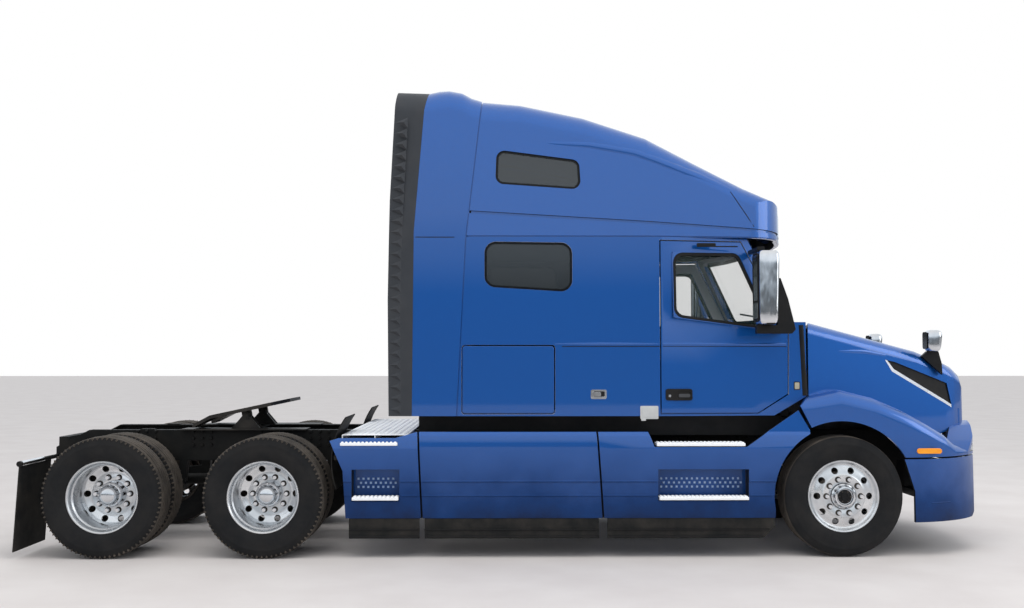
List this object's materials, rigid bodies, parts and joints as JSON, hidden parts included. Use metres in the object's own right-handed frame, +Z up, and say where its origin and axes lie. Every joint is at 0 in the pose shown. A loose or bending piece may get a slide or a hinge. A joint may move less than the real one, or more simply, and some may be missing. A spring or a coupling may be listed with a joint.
{
  "type": "semi truck tractor unit",
  "caption": "Long-nosed road tractor with a tall sleeper cab, roof fairing, dual drive wheels and a tilting fifth-wheel coupling.",
  "frame": {"origin": "on the ground under the middle of the bounding box", "axes": "+X forward, +Y to the driver's left, +Z up"},
  "size_m": [8.25, 3.07, 3.95],
  "materials": {
    "rim_metal": "polished",
    "tyre": "dusty matte",
    "chassis_metal": "dusty satin black",
    "engine_metal": "painted casting",
    "tank_metal": "brushed",
    "cab_paint": "metallic gloss",
    "glass": "dark tint",
    "extender_rubber": "matte",
    "lamp_clear": "clear lens",
    "lamp_amber": "amber lens",
    "lamp_red": "red lens",
    "grille_metal": "bright",
    "mirror_housing": "bright",
    "black_plastic": "grained",
    "flap_rubber": "matte",
    "step_metal": "tread plate",
    "coupling_metal": "greased",
    "interior_plastic": "grained",
    "seat_fabric": "woven",
    "mattress_fabric": "woven"
  },
  "bodies": {
    "chassis": {"axles": "chassis_metal", "frame_rails": "chassis_metal", "suspension": "chassis_metal", "engine": "engine_metal", "fuel_tanks": "tank_metal", "cab_shell": "cab_paint", "cab_windows": "glass", "roof_cap": "cab_paint", "side_panels": "cab_paint", "side_extenders": "extender_rubber", "bumper": "cab_paint", "bumper_grille": "black_plastic", "fog_lamps": "grille_metal", "side_fairings": "cab_paint", "side_skirts": "flap_rubber", "steps": "step_metal", "fifth_wheel_base": "coupling_metal", "splash_guards": "flap_rubber", "tail_lamps": "lamp_red", "cab_interior": "interior_plastic", "seats": "seat_fabric", "bunk_mattress": "mattress_fabric"},
    "hood": {"hood": "cab_paint", "hood_trim": "grille_metal", "headlamps": "lamp_clear", "marker_lamps": "lamp_amber", "grille": "black_plastic", "hood_mirrors": "mirror_housing"},
    "door_right": {"door_right": "cab_paint", "door_glass_right": "glass", "mirror_head_right": "mirror_housing", "mirror_arms_right": "black_plastic"},
    "door_left": {"door_left": "cab_paint", "door_glass_left": "glass", "mirror_head_left": "mirror_housing", "mirror_arms_left": "black_plastic"},
    "luggage_door_right": {"luggage_door_right": "cab_paint"},
    "luggage_door_left": {"luggage_door_left": "cab_paint"},
    "knuckle_right": {"knuckle_right": "chassis_metal"},
    "knuckle_left": {"knuckle_left": "chassis_metal"},
    "tie_rod": {"tie_rod": "chassis_metal"},
    "front_wheel_right": {"front_rim_right": "rim_metal", "front_tyre_right": "tyre"},
    "front_wheel_left": {"front_rim_left": "rim_metal", "front_tyre_left": "tyre"},
    "front_drive_wheels_right": {"front_drive_rims_right": "rim_metal", "front_drive_tyres_right": "tyre"},
    "front_drive_wheels_left": {"front_drive_rims_left": "rim_metal", "front_drive_tyres_left": "tyre"},
    "rear_drive_wheels_right": {"rear_drive_rims_right": "rim_metal", "rear_drive_tyres_right": "tyre"},
    "rear_drive_wheels_left": {"rear_drive_rims_left": "rim_metal", "rear_drive_tyres_left": "tyre"},
    "fifth_wheel": {"fifth_wheel_plate": "coupling_metal"},
    "steering_wheel": {"steering_wheel": "interior_plastic"}
  },
  "joints": [
    {"name": "door_right_hinge", "type": "hinge", "parent": "chassis", "child": "door_right", "pos_m": [2.305, -1.104, 1.6], "axis": [0, 0, 1], "range_deg": [0, 70]},
    {"name": "luggage_door_right_hinge", "type": "hinge", "parent": "chassis", "child": "luggage_door_right", "pos_m": [0.324, -1.203, 1.46], "axis": [0, 0, 1], "range_deg": [0, 90]},
    {"name": "steer_right", "type": "hinge", "parent": "chassis", "child": "knuckle_right", "pos_m": [2.725, -0.965, 0.5], "axis": [0, 0, 1], "range_deg": [-38, 38]},
    {"name": "front_wheel_right_spin", "type": "hinge", "parent": "knuckle_right", "child": "front_wheel_right", "pos_m": [2.725, -1.055, 0.5], "axis": [0, 1, 0], "continuous": true},
    {"name": "front_drive_right_spin", "type": "hinge", "parent": "chassis", "child": "front_drive_wheels_right", "pos_m": [-2.0805, -0.918, 0.5], "axis": [0, 1, 0], "continuous": true},
    {"name": "rear_drive_right_spin", "type": "hinge", "parent": "chassis", "child": "rear_drive_wheels_right", "pos_m": [-3.4015, -0.918, 0.5], "axis": [0, 1, 0], "continuous": true},
    {"name": "door_left_hinge", "type": "hinge", "parent": "chassis", "child": "door_left", "pos_m": [2.305, 1.104, 1.6], "axis": [0, 0, -1], "range_deg": [0, 70]},
    {"name": "luggage_door_left_hinge", "type": "hinge", "parent": "chassis", "child": "luggage_door_left", "pos_m": [0.324, 1.203, 1.46], "axis": [0, 0, -1], "range_deg": [0, 90]},
    {"name": "steer_left", "type": "hinge", "parent": "chassis", "child": "knuckle_left", "pos_m": [2.725, 0.965, 0.5], "axis": [0, 0, 1], "range_deg": [-38, 38]},
    {"name": "front_wheel_left_spin", "type": "hinge", "parent": "knuckle_left", "child": "front_wheel_left", "pos_m": [2.725, 1.055, 0.5], "axis": [0, 1, 0], "continuous": true},
    {"name": "front_drive_left_spin", "type": "hinge", "parent": "chassis", "child": "front_drive_wheels_left", "pos_m": [-2.0805, 0.918, 0.5], "axis": [0, 1, 0], "continuous": true},
    {"name": "rear_drive_left_spin", "type": "hinge", "parent": "chassis", "child": "rear_drive_wheels_left", "pos_m": [-3.4015, 0.918, 0.5], "axis": [0, 1, 0], "continuous": true},
    {"name": "tie_rod_pivot", "type": "hinge", "parent": "knuckle_left", "child": "tie_rod", "pos_m": [2.555, 0.965, 0.378], "axis": [0, 0, 1], "range_deg": [-38, 38]},
    {"name": "hood_hinge", "type": "hinge", "parent": "chassis", "child": "hood", "pos_m": [4.035, 0, 0.69], "axis": [0, 1, 0], "range_deg": [0, 55]},
    {"name": "fifth_wheel_pitch", "type": "hinge", "parent": "chassis", "child": "fifth_wheel", "pos_m": [-2.425, 0, 1.125], "axis": [0, 1, 0], "range_deg": [0, 20]},
    {"name": "steering_wheel_turn", "type": "hinge", "parent": "chassis", "child": "steering_wheel", "pos_m": [1.825, 0.54, 1.66], "axis": [-0.5736, 0, 0.8192], "range_deg": [-684, 684]}
  ],
  "couplings": [
    {"joint": "steer_right", "follows": "steer_left", "ratio": 1},
    {"joint": "tie_rod_pivot", "follows": "steer_left", "ratio": -1},
    {"joint": "steering_wheel_turn", "follows": "steer_left", "ratio": 18}
  ]
}
